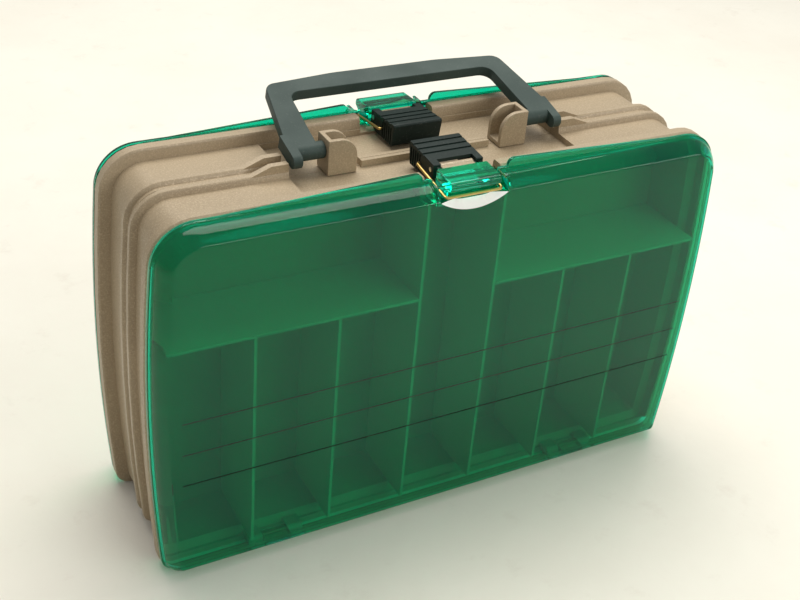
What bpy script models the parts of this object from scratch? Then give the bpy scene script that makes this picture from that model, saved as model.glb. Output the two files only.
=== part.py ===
"""Two-sided satchel tackle box: two trays back to back, a clear lid on each side, a folding handle.

Metres, +Z up. The box stands on its bottom edge with the front lid facing -Y. The origin is on the
ground under the middle of the box. The back half is the front half turned half a turn about Z.
"""
import math

import bmesh
import bpy
from mathutils import Matrix, Vector

# ---- driving dimensions -------------------------------------------------------------------------
WIDTH = 0.325               # across the widest part of the bowed sides
HEIGHT = 0.204              # tray outline, bottom edge to top edge
BODY_DEPTH = 0.078          # both trays together, front rim face to back rim face
LID_DEPTH = 0.0130          # each lid, in front of its tray
HALF_BODY = BODY_DEPTH / 2
LID_FACE = HALF_BODY + LID_DEPTH
SIDE_BOW = 0.0052           # how far the sides bulge between their corners
TOP_RADIUS = 0.022
BOTTOM_RADIUS = 0.009
WALL = 0.0020
GAP = 0.0003                # between parts that touch
RUN = 0.0004                # between parts that turn on each other

# tray
PARTING = 0.0003            # between the two trays
FLANGE_WIDTH = 0.0078       # rounded rim beside each lid
FLANGE_ROUND = 0.0013
BAND_INSET = 0.0062         # flat band between the rim and the middle beads
BEAD_INSET = 0.0029
BEAD_CENTRE = 0.0047        # from the parting plane
BEAD_WIDTH = 0.0052
CHANNEL_INSET = 0.0050      # between the two beads
RIM_WALL = 0.0036
FLOOR = 0.0020

# handle bay in the top of the trays
BAY_HALF = 0.0780
BAY_FLOOR = HEIGHT - 0.0095          # height above the ground
BAY_EDGE = HALF_BODY - 0.0085           # from the parting plane
RIDGE_HALF = 0.0370
RIDGE_TOP = HEIGHT - 0.0058
RIDGE_WIDTH = 0.0026        # on each side of the parting plane
EAR_TOP = HEIGHT + 0.0010
EAR_THICKNESS = 0.0034
EAR_FLAT = 0.0090
EAR_RAMP = 0.0110

# compartments
PLATE = 0.0015              # thickness of partitions, shelves and dividers
CENTRE_HALF = 0.0217        # centre column, to the middle of each partition
PITCH = 0.0442              # between divider centres
SHELF_HEIGHT = 0.1387
PLATE_FRONT = HALF_BODY + 0.0065        # front edge of the plates, from the parting plane

# lid
LEVER_HALF = 0.0141
RIM_STEP = 0.0028
RIM_CLEAR = 0.0003          # lid rim inside the tray outline
RIM_LEDGE = 0.0012
LID_FACE_INSET = 0.0029
FACE_ROUND = 0.0030
LIP_INNER = 0.0242          # where each lip starts beside the latch
LIP_OUTER = 0.1240
LIP_RISE = 0.0042           # above the tray outline
LIP_ROUND = 0.0034
LIP_BACK = 0.0002           # lip in front of the rim face
RECESS_HALF = LEVER_HALF + 0.0049
RECESS_FLOOR = HEIGHT - 0.0077
SCOOP_HALF = 0.0290         # finger scoop below the recess
SCOOP_RADIUS = 0.060
SCOOP_LOW = HEIGHT - 0.0136

# hinge along the bottom edge
HINGE_RADIUS = 0.0029
HINGE_HEIGHT = 0.0032
HINGE_X = 0.0950
LID_KNUCKLE = 0.0140        # length
TRAY_KNUCKLE = 0.0080
HINGE_PIN_RADIUS = 0.0010
HINGE_REBATE = 0.0042       # the tray's lower edge is cut back this far for the lid's rim to swing
HINGE_RELIEF = 0.0046       # radius cut out of the lid round each tray knuckle
HINGE_WEB = HINGE_REBATE + 0.0020

# latch, on the front; distances from the parting plane are positive towards the lid
LEVER_WALL = 0.0026
LEVER_REAR = HALF_BODY - 0.0310
LEVER_FRONT = HALF_BODY - 0.0054
LEVER_TOP_REAR = HEIGHT + 0.0049
LEVER_TOP_FRONT = HEIGHT + 0.0029
LEVER_BOTTOM = HEIGHT - 0.0074
SLOT_HALF = 0.0100
SLOT_REAR = HALF_BODY - 0.0101
PIVOT_OUT = HALF_BODY - 0.0081
PIVOT_HEIGHT = HEIGHT - 0.0005
LATCH_PIN_RADIUS = 0.0012
LUG_HALF = 0.0092
LUG_RADIUS = 0.0022
LUG_FRONT = HALF_BODY - 0.0044
LUG_TOP = HEIGHT + 0.0010
NOTCH_HALF = LEVER_HALF + 0.0074
NOTCH_FLOOR = HEIGHT - 0.0082
BLOCK_REAR = HALF_BODY - 0.0025
BLOCK_TOP_REAR = HEIGHT + 0.0026
BLOCK_TOP_FRONT = HEIGHT + 0.0015
BLOCK_UNDERCUT = LID_FACE - 0.0027
BLOCK_LIP = HEIGHT - 0.0040
WIRE_RADIUS = 0.0008
WIRE_HALF = LEVER_HALF + 0.0017
HOOK_OUT = LID_FACE - 0.0014
HOOK_HEIGHT = HEIGHT - 0.0060
BAIL_OUT = HALF_BODY - 0.0185
BAIL_HEIGHT = HEIGHT - 0.0021

# handle and its brackets
BRACKET_OUTER = 0.0572
BRACKET_INNER = 0.0415
BRACKET_DEPTH = 0.0128
BRACKET_WALL = 0.0024
BRACKET_TOP = HEIGHT + 0.0094
BRACKET_ROUND = 0.0095
TENON_LENGTH = 0.0090
TENON_DEPTH = 0.0070
TENON_DROP = 0.0040
AXLE_HEIGHT = HEIGHT + 0.0026
AXLE_RADIUS = 0.0030
BARREL_RADIUS = 0.00435
HANDLE_THICKNESS = 0.0062
HANDLE_OUTER = 0.0768       # half width at the feet
HANDLE_SHOULDER = 0.0684    # half width at the top corners
HANDLE_REACH = 0.0530       # axle to the middle of the grip's outer edge
HANDLE_CORNER = 0.0495      # axle to the grip's outer edge at the corners
LEG_WIDTH_FOOT = 0.0157
LEG_WIDTH_TOP = 0.0112
GRIP_WIDTH = 0.0122
HEEL_WIDTH = 0.0050
HEEL_REACH = 0.0096
HANDLE_LEAN = math.radians(76.8)
EDGE = 0.0008

CAVITY_INSET = BAND_INSET + WALL
CAVITY_BACK = PARTING / 2 + FLOOR
BAY_CEILING = BAY_FLOOR - WALL
LID_BACK = HALF_BODY + GAP
HINGE_OUT = HALF_BODY + GAP / 2
ROTATE_BACK = Matrix.Rotation(math.pi, 4, "Z")


# ---- scene helpers ------------------------------------------------------------------------------
def new_collection(name):
    collection = bpy.data.collections.new(name)
    bpy.context.scene.collection.children.link(collection)
    return collection


def make_material(name, colour, roughness, metallic=0.0):
    material = bpy.data.materials.new(name)
    material.use_nodes = True
    shader = material.node_tree.nodes["Principled BSDF"]
    shader.inputs["Base Color"].default_value = (*colour, 1.0)
    shader.inputs["Roughness"].default_value = roughness
    shader.inputs["Metallic"].default_value = metallic
    return material


def mesh_object(name, bm, collection):
    bmesh.ops.recalc_face_normals(bm, faces=bm.faces)
    mesh = bpy.data.meshes.new(name)
    bm.to_mesh(mesh)
    bm.free()
    obj = bpy.data.objects.new(name, mesh)
    collection.objects.link(obj)
    return obj


def place(obj, matrix):
    obj.matrix_world = matrix @ obj.matrix_world
    return obj


def smooth(obj, degrees=35):
    obj.data.shade_smooth()
    obj.data.set_sharp_from_angle(angle=math.radians(degrees))


def hide_cutter(obj):
    obj.hide_render = True
    obj.display_type = "WIRE"


def combine(target, tool, operation):
    modifier = target.modifiers.new(tool.name, "BOOLEAN")
    modifier.operation = operation
    modifier.solver = "EXACT"
    modifier.object = tool
    hide_cutter(tool)


# ---- basic solids -------------------------------------------------------------------------------
def box(name, low, high, collection):
    low, high = Vector(low), Vector(high)
    size = high - low
    bm = bmesh.new()
    bmesh.ops.create_cube(bm, size=1.0, matrix=Matrix.Translation((low + high) / 2) @ Matrix.Diagonal((*size, 1.0)))
    return mesh_object(name, bm, collection)


def rod(name, start, end, radius, collection, segments=24):
    start, end = Vector(start), Vector(end)
    along = end - start
    turn = along.to_track_quat("Z", "Y").to_matrix().to_4x4()
    bm = bmesh.new()
    bmesh.ops.create_cone(
        bm, cap_ends=True, segments=segments, radius1=radius, radius2=radius, depth=along.length,
        matrix=Matrix.Translation((start + end) / 2) @ turn)
    return mesh_object(name, bm, collection)


def curve_to_mesh(curve, name, collection, turn=Matrix.Identity(4)):
    """Turn a curve into a welded mesh object and remove the curve."""
    holder = bpy.data.objects.new(name + "_curve", curve)
    collection.objects.link(holder)
    depsgraph = bpy.context.evaluated_depsgraph_get()
    mesh = bpy.data.meshes.new_from_object(holder.evaluated_get(depsgraph))
    mesh.transform(turn)
    bm = bmesh.new()
    bm.from_mesh(mesh)
    bmesh.ops.remove_doubles(bm, verts=bm.verts, dist=0.00001)
    bpy.data.objects.remove(holder)
    bpy.data.meshes.remove(mesh)
    bpy.data.curves.remove(curve)
    return mesh_object(name, bm, collection)


def flat_curve(points, thickness, edge=0.0):
    """Filled 2D curve, extruded to thickness about its plane, with its edges rounded by edge."""
    curve = bpy.data.curves.new("outline", "CURVE")
    curve.dimensions = "2D"
    curve.fill_mode = "BOTH"
    curve.extrude = thickness / 2 - edge
    curve.bevel_depth = edge
    curve.bevel_resolution = 1
    curve.offset = -edge
    spline = curve.splines.new("POLY")
    spline.points.add(len(points) - 1)
    for point, (u, v) in zip(spline.points, points):
        point.co = (u, v, 0.0, 1.0)
    spline.use_cyclic_u = True
    return curve


FACE_XZ = Matrix.Rotation(math.pi / 2, 4, "X")
FACE_YZ = Matrix(((0, 0, 1, 0), (1, 0, 0, 0), (0, 1, 0, 0), (0, 0, 0, 1)))


def slab_xz(name, points, y_middle, thickness, collection, edge=0.0):
    """An (x, z) outline extruded along Y."""
    turn = Matrix.Translation((0, y_middle, 0)) @ FACE_XZ
    return curve_to_mesh(flat_curve(points, thickness, edge), name, collection, turn)


def slab_yz(name, points, x_middle, thickness, collection, edge=0.0):
    """A (y, z) outline extruded along X."""
    turn = Matrix.Translation((x_middle, 0, 0)) @ FACE_YZ
    return curve_to_mesh(flat_curve(points, thickness, edge), name, collection, turn)


def arc(centre, radius, start, end, steps):
    """Points on an arc between two angles in degrees, both ends included."""
    angles = [math.radians(start + (end - start) * i / steps) for i in range(steps + 1)]
    return [(centre[0] + radius * math.cos(a), centre[1] + radius * math.sin(a)) for a in angles]


def round_corners(points, radii, steps=4):
    """Replace each corner of a closed outline by an arc of its radius."""
    rounded = []
    for i, radius in enumerate(radii):
        corner = Vector(points[i])
        before = (Vector(points[i - 1]) - corner).normalized()
        after = (Vector(points[(i + 1) % len(points)]) - corner).normalized()
        if radius == 0:
            rounded.append(tuple(corner))
            continue
        half_angle = before.angle(after) / 2
        centre = corner + (before + after).normalized() * (radius / math.sin(half_angle))
        first = corner + before * (radius / math.tan(half_angle)) - centre
        last = corner + after * (radius / math.tan(half_angle)) - centre
        sweep = first.angle_signed(last)
        for step in range(steps + 1):
            angle = -sweep * step / steps
            rounded.append(tuple(centre + Matrix.Rotation(angle, 2) @ first))
    return rounded


# ---- the box outline ----------------------------------------------------------------------------
BOW_RADIUS = ((HEIGHT / 2) ** 2 + SIDE_BOW ** 2) / (2 * SIDE_BOW)
BOW_CENTRE = WIDTH / 2 - BOW_RADIUS
SMALLEST_RADIUS = 0.0015
CORNER_STEPS = 6
SIDE_STEPS = 6


def half_width(height, inset):
    """Distance from the middle plane to the bowed side, inset from the outline."""
    return BOW_CENTRE + math.sqrt((BOW_RADIUS - inset) ** 2 - (height - HEIGHT / 2) ** 2)


def corner_arc(radius, inset, top):
    """Centre, radius and tangent angle of a corner arc that meets the bowed side."""
    radius = max(radius - inset, SMALLEST_RADIUS)
    height = HEIGHT - inset - radius if top else inset + radius
    rise = height - HEIGHT / 2
    across = BOW_CENTRE + math.sqrt((BOW_RADIUS - inset - radius) ** 2 - rise ** 2)
    return (across, height), radius, math.degrees(math.atan2(rise, across - BOW_CENTRE))


def box_outline(inset):
    """Closed (x, z) outline, inset from the tray outline: flat top and bottom, bowed sides."""
    low_centre, low_radius, low_angle = corner_arc(BOTTOM_RADIUS, inset, top=False)
    top_centre, top_radius, top_angle = corner_arc(TOP_RADIUS, inset, top=True)
    side = arc((BOW_CENTRE, HEIGHT / 2), BOW_RADIUS - inset, low_angle, top_angle, SIDE_STEPS)
    right = arc(low_centre, low_radius, -90, low_angle, CORNER_STEPS) + side[1:-1]
    right += arc(top_centre, top_radius, top_angle, 90, CORNER_STEPS)
    left = [(-x, z) for x, z in reversed(right)]
    return right + left


def loft(name, stations, collection):
    """Skin through box outlines: stations are (distance out from the parting plane, inset)."""
    bm = bmesh.new()
    rings = [[bm.verts.new((x, -out, z)) for x, z in box_outline(inset)] for out, inset in stations]
    for ring, following in zip(rings, rings[1:]):
        for i in range(len(ring)):
            j = (i + 1) % len(ring)
            bm.faces.new((ring[i], ring[j], following[j], following[i]))
    bm.faces.new(rings[0])
    bm.faces.new(rings[-1])
    return mesh_object(name, bm, collection)


# ---- tray ---------------------------------------------------------------------------------------
def tray_stations():
    bead_in = BEAD_CENTRE - BEAD_WIDTH / 2
    bead_out = BEAD_CENTRE + BEAD_WIDTH / 2
    shoulder = BEAD_WIDTH / 4
    rim_in = HALF_BODY - FLANGE_WIDTH
    return [
        (PARTING / 2, CHANNEL_INSET),
        (bead_in, CHANNEL_INSET),
        (bead_in + shoulder / 2, BEAD_INSET + 0.0006),
        (bead_in + shoulder, BEAD_INSET),
        (bead_out - shoulder, BEAD_INSET),
        (bead_out - shoulder / 2, BEAD_INSET + 0.0006),
        (bead_out, BAND_INSET),
        (rim_in, BAND_INSET),
        (rim_in + FLANGE_ROUND / 3, FLANGE_ROUND),
        (rim_in + FLANGE_ROUND, 0.0),
        (HALF_BODY - FLANGE_ROUND, 0.0),
        (HALF_BODY, FLANGE_ROUND),
        (HALF_BODY, RIM_WALL),
        (rim_in + WALL, RIM_WALL),
        (rim_in, CAVITY_INSET),
        (CAVITY_BACK, CAVITY_INSET),
    ]


def ear_outline(side):
    """Upright plate at the end of a bead, beside the handle bay."""
    band = HEIGHT - BAND_INSET - WALL / 2
    bead = HEIGHT - BEAD_INSET
    points = [
        (BAY_HALF, band),
        (BAY_HALF + EAR_FLAT + EAR_RAMP + 0.004, band),
        (BAY_HALF + EAR_FLAT + EAR_RAMP, bead - 0.0005),
        (BAY_HALF + EAR_FLAT, EAR_TOP),
        (BAY_HALF, EAR_TOP),
    ]
    return [(side * x, z) for x, z in points]


def lug_outline():
    """Latch lug: round behind the pin, a low shelf in front of it."""
    back = arc((-PIVOT_OUT, PIVOT_HEIGHT), LUG_RADIUS, 0, 137, 8)
    return back + [
        (-PIVOT_OUT - LUG_RADIUS, LUG_TOP),
        (-LUG_FRONT, LUG_TOP),
        (-LUG_FRONT, NOTCH_FLOOR - WALL),
        (-PIVOT_OUT + LUG_RADIUS, NOTCH_FLOOR - WALL),
    ]


def hinge_axis(x):
    return (x, -HINGE_OUT, HINGE_HEIGHT)


def tray_knuckles(side):
    """X ranges of the two tray knuckles of one hinge."""
    inner = LID_KNUCKLE / 2 + RUN
    outer = inner + TRAY_KNUCKLE
    centre = side * HINGE_X
    return [(centre - outer, centre - inner), (centre + inner, centre + outer)]


def build_tray(prefix, parts, cutters):
    tray = loft(prefix + "_tray", tray_stations(), parts)
    parting = -PARTING / 2
    bay_wall = -(HALF_BODY - FLANGE_WIDTH)
    liner_half = BAY_HALF + WALL
    band_top = HEIGHT - BAND_INSET
    liner = box(prefix + "_bay_liner", (-liner_half, bay_wall - WALL / 2, BAY_CEILING),
                (liner_half, -PARTING / 2 - FLOOR / 2, band_top - 0.0005), cutters)
    combine(tray, liner, "UNION")
    bay = box(prefix + "_bay", (-BAY_HALF, -BAY_EDGE, BAY_FLOOR), (BAY_HALF, 0.001, HEIGHT + 0.01), cutters)
    combine(tray, bay, "DIFFERENCE")
    ridge = box(prefix + "_ridge", (-RIDGE_HALF, -RIDGE_WIDTH, BAY_FLOOR - WALL / 2),
                (RIDGE_HALF, parting, RIDGE_TOP), cutters)
    combine(tray, ridge, "UNION")
    for side in (-1, 1):
        ear = slab_xz(f"{prefix}_ear_{side}", ear_outline(side), -BEAD_CENTRE, EAR_THICKNESS, cutters)
        combine(tray, ear, "UNION")
    notch = box(prefix + "_latch_notch", (-NOTCH_HALF, -HALF_BODY - 0.002, NOTCH_FLOOR),
                (NOTCH_HALF, bay_wall + 0.002, HEIGHT + 0.01), cutters)
    notch_liner = box(prefix + "_notch_liner", (-NOTCH_HALF - WALL, -HALF_BODY, NOTCH_FLOOR - WALL),
                      (NOTCH_HALF + WALL, bay_wall, band_top), cutters)
    combine(tray, notch_liner, "UNION")
    combine(tray, notch, "DIFFERENCE")
    lug = slab_yz(prefix + "_lug", lug_outline(), 0, 2 * LUG_HALF, cutters)
    combine(tray, lug, "UNION")
    pin_hole = rod(prefix + "_latch_pin_hole", (-NOTCH_HALF, -PIVOT_OUT, PIVOT_HEIGHT),
                   (NOTCH_HALF, -PIVOT_OUT, PIVOT_HEIGHT), LATCH_PIN_RADIUS + GAP, cutters, 16)
    combine(tray, pin_hole, "DIFFERENCE")
    for side in (-1, 1):
        middle = side * (BRACKET_OUTER + BRACKET_INNER) / 2
        mortise_x = TENON_LENGTH / 2 + GAP
        mortise_y = TENON_DEPTH / 2 + GAP
        mortise = box(f"{prefix}_mortise_{side}", (middle - mortise_x, -mortise_y, BAY_CEILING - 0.01),
                      (middle + mortise_x, 0.001, BAY_FLOOR + 0.005), cutters)
        combine(tray, mortise, "DIFFERENCE")
    groove = rod(prefix + "_hinge_groove", hinge_axis(-WIDTH / 2), hinge_axis(WIDTH / 2),
                 HINGE_RADIUS + RUN, cutters)
    combine(tray, groove, "DIFFERENCE")
    rebate = box(prefix + "_hinge_rebate", (-WIDTH / 2, -HALF_BODY - 0.001, -0.001),
                 (WIDTH / 2, -HINGE_OUT + HINGE_REBATE, RIM_WALL + 0.0006), cutters)
    combine(tray, rebate, "DIFFERENCE")
    for side in (-1, 1):
        for number, (start, end) in enumerate(tray_knuckles(side)):
            knuckle = rod(f"{prefix}_knuckle_{side}_{number}", hinge_axis(start), hinge_axis(end),
                          HINGE_RADIUS, cutters)
            web = box(f"{prefix}_web_{side}_{number}",
                      (start, -HINGE_OUT, HINGE_HEIGHT - HINGE_RADIUS / 2),
                      (end, -HINGE_OUT + HINGE_WEB, HINGE_HEIGHT + HINGE_RADIUS * 0.9), cutters)
            combine(tray, knuckle, "UNION")
            combine(tray, web, "UNION")
        reach = LID_KNUCKLE / 2 + RUN + TRAY_KNUCKLE + 0.001
        hole = rod(f"{prefix}_hinge_pin_hole_{side}", hinge_axis(side * HINGE_X - reach),
                   hinge_axis(side * HINGE_X + reach), HINGE_PIN_RADIUS + GAP, cutters, 16)
        combine(tray, hole, "DIFFERENCE")
    return tray


# ---- partitions, shelves and dividers -----------------------------------------------------------
def build_plates(prefix, parts):
    """The upright and level plates that split one tray into compartments."""
    back = -(CAVITY_BACK + GAP)
    floor_height = CAVITY_INSET + GAP
    ceiling = BAY_CEILING - GAP
    half = PLATE / 2
    plates = []
    for label, side in (("left", -1), ("right", 1)):
        plates.append(box(f"{prefix}_partition_{label}", (side * CENTRE_HALF - half, -PLATE_FRONT, floor_height),
                          (side * CENTRE_HALF + half, back, ceiling), parts))
        wall_low = half_width(SHELF_HEIGHT - half, CAVITY_INSET) - GAP
        wall_high = half_width(SHELF_HEIGHT + half, CAVITY_INSET) - GAP
        ends = sorted((side * (CENTRE_HALF + half + GAP), side * min(wall_low, wall_high)))
        plates.append(box(f"{prefix}_shelf_{label}", (ends[0], -PLATE_FRONT, SHELF_HEIGHT - half),
                          (ends[1], back, SHELF_HEIGHT + half), parts))
        for number in (1, 2):
            middle = side * (CENTRE_HALF + number * PITCH)
            plates.append(box(f"{prefix}_divider_{label}_{number}", (middle - half, -PLATE_FRONT, floor_height),
                              (middle + half, back, SHELF_HEIGHT - half - GAP), parts))
    return plates


# ---- lid ----------------------------------------------------------------------------------------
def lid_stations():
    """Outside from the face to the rim, then inside from the rim back to the face."""
    step = LID_BACK + RIM_STEP
    shoulder = LID_FACE - FACE_ROUND
    face_edge = LID_FACE_INSET + FACE_ROUND
    return [
        (LID_FACE, face_edge),
        (LID_FACE - FACE_ROUND * 0.3, LID_FACE_INSET + FACE_ROUND * 0.3),
        (shoulder, LID_FACE_INSET),
        (step + RIM_LEDGE / 2, RIM_LEDGE * 1.3),
        (step, RIM_CLEAR),
        (LID_BACK, RIM_CLEAR),
        (LID_BACK, RIM_CLEAR + WALL),
        (step, RIM_LEDGE + WALL),
        (shoulder, LID_FACE_INSET + WALL),
        (LID_FACE - WALL, face_edge),
    ]


def lip_outline(side):
    """Wedge that stands up from the lid's rim, highest beside the latch."""
    base = HEIGHT - WALL / 2
    top = HEIGHT + LIP_RISE
    points = [(LIP_INNER, base), (LIP_OUTER, base), (LIP_OUTER, HEIGHT - 0.0003), (LIP_INNER, top)]
    radii = [0, 0, 0, LIP_ROUND]
    return [(side * x, z) for x, z in round_corners(points, radii, 5)]


def block_outline():
    """Catch block that the wire bail hooks under."""
    root = RECESS_FLOOR - WALL / 2
    sill = NOTCH_FLOOR + RUN
    points = [
        (-LID_BACK - GAP, root),
        (-LID_BACK - GAP, sill),
        (-BLOCK_REAR, sill),
        (-BLOCK_REAR, BLOCK_TOP_REAR),
        (-LID_FACE, BLOCK_TOP_FRONT),
        (-LID_FACE, BLOCK_LIP + 0.0018),
        (-BLOCK_UNDERCUT, BLOCK_LIP),
        (-BLOCK_UNDERCUT, root),
    ]
    return round_corners(points, [0, 0, 0, 0.0008, 0.0022, 0.0006, 0, 0], 3)


def scoop_cutter(prefix, cutters):
    """Tilted cylinder that hollows the lid's top front edge below the catch block."""
    low = Vector((0, -LID_FACE, SCOOP_LOW))
    high = Vector((0, -BLOCK_UNDERCUT + 0.0010, RECESS_FLOOR))
    along = (high - low).normalized()
    outward = Vector((0, -along.z, along.y))
    axis = low + outward * SCOOP_RADIUS
    return rod(prefix + "_scoop", axis - along * 0.02, axis + along * 0.012, SCOOP_RADIUS, cutters, 96)


def build_lid(prefix, parts, cutters):
    lid = loft(prefix + "_lid", lid_stations(), parts)
    inside = LID_FACE - WALL / 2
    recess_liner = box(prefix + "_recess_liner", (-RECESS_HALF - PLATE, -inside, RECESS_FLOOR - WALL),
                       (RECESS_HALF + PLATE, -LID_BACK, HEIGHT - WALL / 2), cutters)
    combine(lid, recess_liner, "UNION")
    scoop_liner = box(prefix + "_scoop_liner", (-SCOOP_HALF, -inside, SCOOP_LOW - WALL),
                      (SCOOP_HALF, -PLATE_FRONT - GAP, HEIGHT - LID_FACE_INSET - WALL / 2), cutters)
    combine(lid, scoop_liner, "UNION")
    recess = box(prefix + "_recess", (-RECESS_HALF, -LID_FACE - 0.01, RECESS_FLOOR),
                 (RECESS_HALF, -LID_BACK + 0.001, HEIGHT + 0.01), cutters)
    combine(lid, recess, "DIFFERENCE")
    combine(lid, scoop_cutter(prefix, cutters), "DIFFERENCE")
    block = slab_yz(prefix + "_catch_block", block_outline(), 0, 2 * LEVER_HALF, cutters)
    combine(lid, block, "UNION")
    for side in (-1, 1):
        lip = slab_xz(f"{prefix}_lip_{side}", lip_outline(side), -LID_BACK - WALL / 2 - LIP_BACK, WALL, cutters)
        combine(lid, lip, "UNION")
        centre = side * HINGE_X
        half = LID_KNUCKLE / 2
        for number, (start, end) in enumerate(tray_knuckles(side)):
            relief = rod(f"{prefix}_relief_{side}_{number}", hinge_axis(start - RUN), hinge_axis(end + RUN),
                         HINGE_RELIEF, cutters)
            combine(lid, relief, "DIFFERENCE")
        knuckle = rod(f"{prefix}_lid_knuckle_{side}", hinge_axis(centre - half), hinge_axis(centre + half),
                      HINGE_RADIUS, cutters)
        web = box(f"{prefix}_lid_web_{side}", (centre - half, -HINGE_OUT - HINGE_WEB, HINGE_HEIGHT - HINGE_RADIUS / 2),
                  (centre + half, -HINGE_OUT, HINGE_HEIGHT + HINGE_RADIUS * 0.9), cutters)
        hole = rod(f"{prefix}_lid_pin_hole_{side}", hinge_axis(centre - half - RUN), hinge_axis(centre + half + RUN),
                   HINGE_PIN_RADIUS + GAP, cutters, 16)
        combine(lid, knuckle, "UNION")
        combine(lid, web, "UNION")
        combine(lid, hole, "DIFFERENCE")
    return lid


def build_hinge_pins(prefix, parts):
    reach = LID_KNUCKLE / 2 + RUN + TRAY_KNUCKLE
    pins = []
    for label, side in (("left", -1), ("right", 1)):
        centre = side * HINGE_X
        pins.append(rod(f"{prefix}_hinge_pin_{label}", hinge_axis(centre - reach), hinge_axis(centre + reach),
                        HINGE_PIN_RADIUS, parts, 16))
    return pins


# ---- latch --------------------------------------------------------------------------------------
def build_lever(prefix, parts, cutters):
    """Hollow lever: top plate, two sides that carry the pin, and a rear wall to lift by."""
    outline = [
        (-LEVER_REAR - 0.0020, LEVER_BOTTOM),
        (-LEVER_REAR, LEVER_TOP_REAR),
        (-LEVER_FRONT, LEVER_TOP_FRONT),
        (-LEVER_FRONT, PIVOT_HEIGHT - 0.0036),
        (-LEVER_FRONT + 0.0045, LEVER_BOTTOM),
    ]
    outline = round_corners(outline, [0.0006, 0.0012, 0.0006, 0.0012, 0.0030], 3)
    lever = slab_yz(prefix + "_latch_lever", outline, 0, 2 * LEVER_HALF, parts, edge=0.0005)
    inner = LEVER_HALF - LEVER_WALL
    hollow_outline = [
        (-LEVER_REAR - 0.0020 - LEVER_WALL, LEVER_BOTTOM - 0.002),
        (-LEVER_REAR - LEVER_WALL, LEVER_TOP_REAR - WALL),
        (-LEVER_FRONT - 0.002, LEVER_TOP_FRONT - WALL),
        (-LEVER_FRONT - 0.002, LEVER_BOTTOM - 0.002),
    ]
    hollow = slab_yz(prefix + "_lever_hollow", hollow_outline, 0, 2 * inner, cutters)
    combine(lever, hollow, "DIFFERENCE")
    slot = box(prefix + "_lever_slot", (-SLOT_HALF, -LEVER_FRONT - 0.002, PIVOT_HEIGHT),
               (SLOT_HALF, -SLOT_REAR, LEVER_TOP_REAR + 0.002), cutters)
    combine(lever, slot, "DIFFERENCE")
    pin_hole = rod(prefix + "_lever_pin_hole", (-LEVER_HALF - 0.002, -PIVOT_OUT, PIVOT_HEIGHT),
                   (LEVER_HALF + 0.002, -PIVOT_OUT, PIVOT_HEIGHT), LATCH_PIN_RADIUS + GAP, cutters, 16)
    combine(lever, pin_hole, "DIFFERENCE")
    return lever


def build_latch_pin(prefix, parts):
    reach = LEVER_HALF + 0.0002
    return rod(prefix + "_latch_pin", (-reach, -PIVOT_OUT, PIVOT_HEIGHT), (reach, -PIVOT_OUT, PIVOT_HEIGHT),
               LATCH_PIN_RADIUS, parts, 16)


def build_bail(prefix, parts):
    """Wire bail: two legs beside the lever, a crossbar under the catch block's lip."""
    tip = LEVER_HALF + GAP
    corner = 2 * WIRE_RADIUS
    leg = Vector((0, BAIL_OUT - HOOK_OUT, BAIL_HEIGHT - HOOK_HEIGHT))
    length = leg.length
    bend = arc((WIRE_HALF - corner, corner), corner, -90, 0, 4)
    top = arc((WIRE_HALF - WIRE_RADIUS, length - WIRE_RADIUS), WIRE_RADIUS, 0, 90, 3)
    half_route = bend + top + [(tip, length)]
    route = [(-u, v) for u, v in reversed(half_route)] + half_route
    curve = bpy.data.curves.new("bail", "CURVE")
    curve.dimensions = "3D"
    curve.bevel_depth = WIRE_RADIUS
    curve.bevel_resolution = 2
    curve.use_fill_caps = True
    spline = curve.splines.new("POLY")
    spline.points.add(len(route) - 1)
    along = Vector((0, HOOK_OUT - BAIL_OUT, BAIL_HEIGHT - HOOK_HEIGHT)).normalized()
    for point, (u, v) in zip(spline.points, route):
        point.co = (u, -HOOK_OUT + along.y * v, HOOK_HEIGHT + along.z * v, 1.0)
    return curve_to_mesh(curve, prefix + "_latch_bail", parts)


# ---- handle -------------------------------------------------------------------------------------
def handle_outline():
    """Arch in the handle's own plane, axle at the origin, grip at the top."""
    def outer_at(height):
        share = height / HANDLE_CORNER
        return HANDLE_OUTER + (HANDLE_SHOULDER - HANDLE_OUTER) * share

    inner_height = HANDLE_REACH - GRIP_WIDTH
    inner_foot = HANDLE_OUTER - LEG_WIDTH_FOOT
    inner_top = outer_at(inner_height) - LEG_WIDTH_TOP
    points = [
        (inner_foot, 0.0), (HANDLE_OUTER, 0.0), (HANDLE_SHOULDER, HANDLE_CORNER),
        (HANDLE_SHOULDER * 0.45, HANDLE_REACH - 0.0006),
        (-HANDLE_SHOULDER * 0.45, HANDLE_REACH - 0.0006),
        (-HANDLE_SHOULDER, HANDLE_CORNER), (-HANDLE_OUTER, 0.0), (-inner_foot, 0.0),
        (-inner_top, inner_height), (inner_top, inner_height),
    ]
    radii = [0, 0, 0.0060, 0.10, 0.10, 0.0060, 0, 0, 0.0060, 0.0060]
    return round_corners(points, radii, 5)


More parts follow.
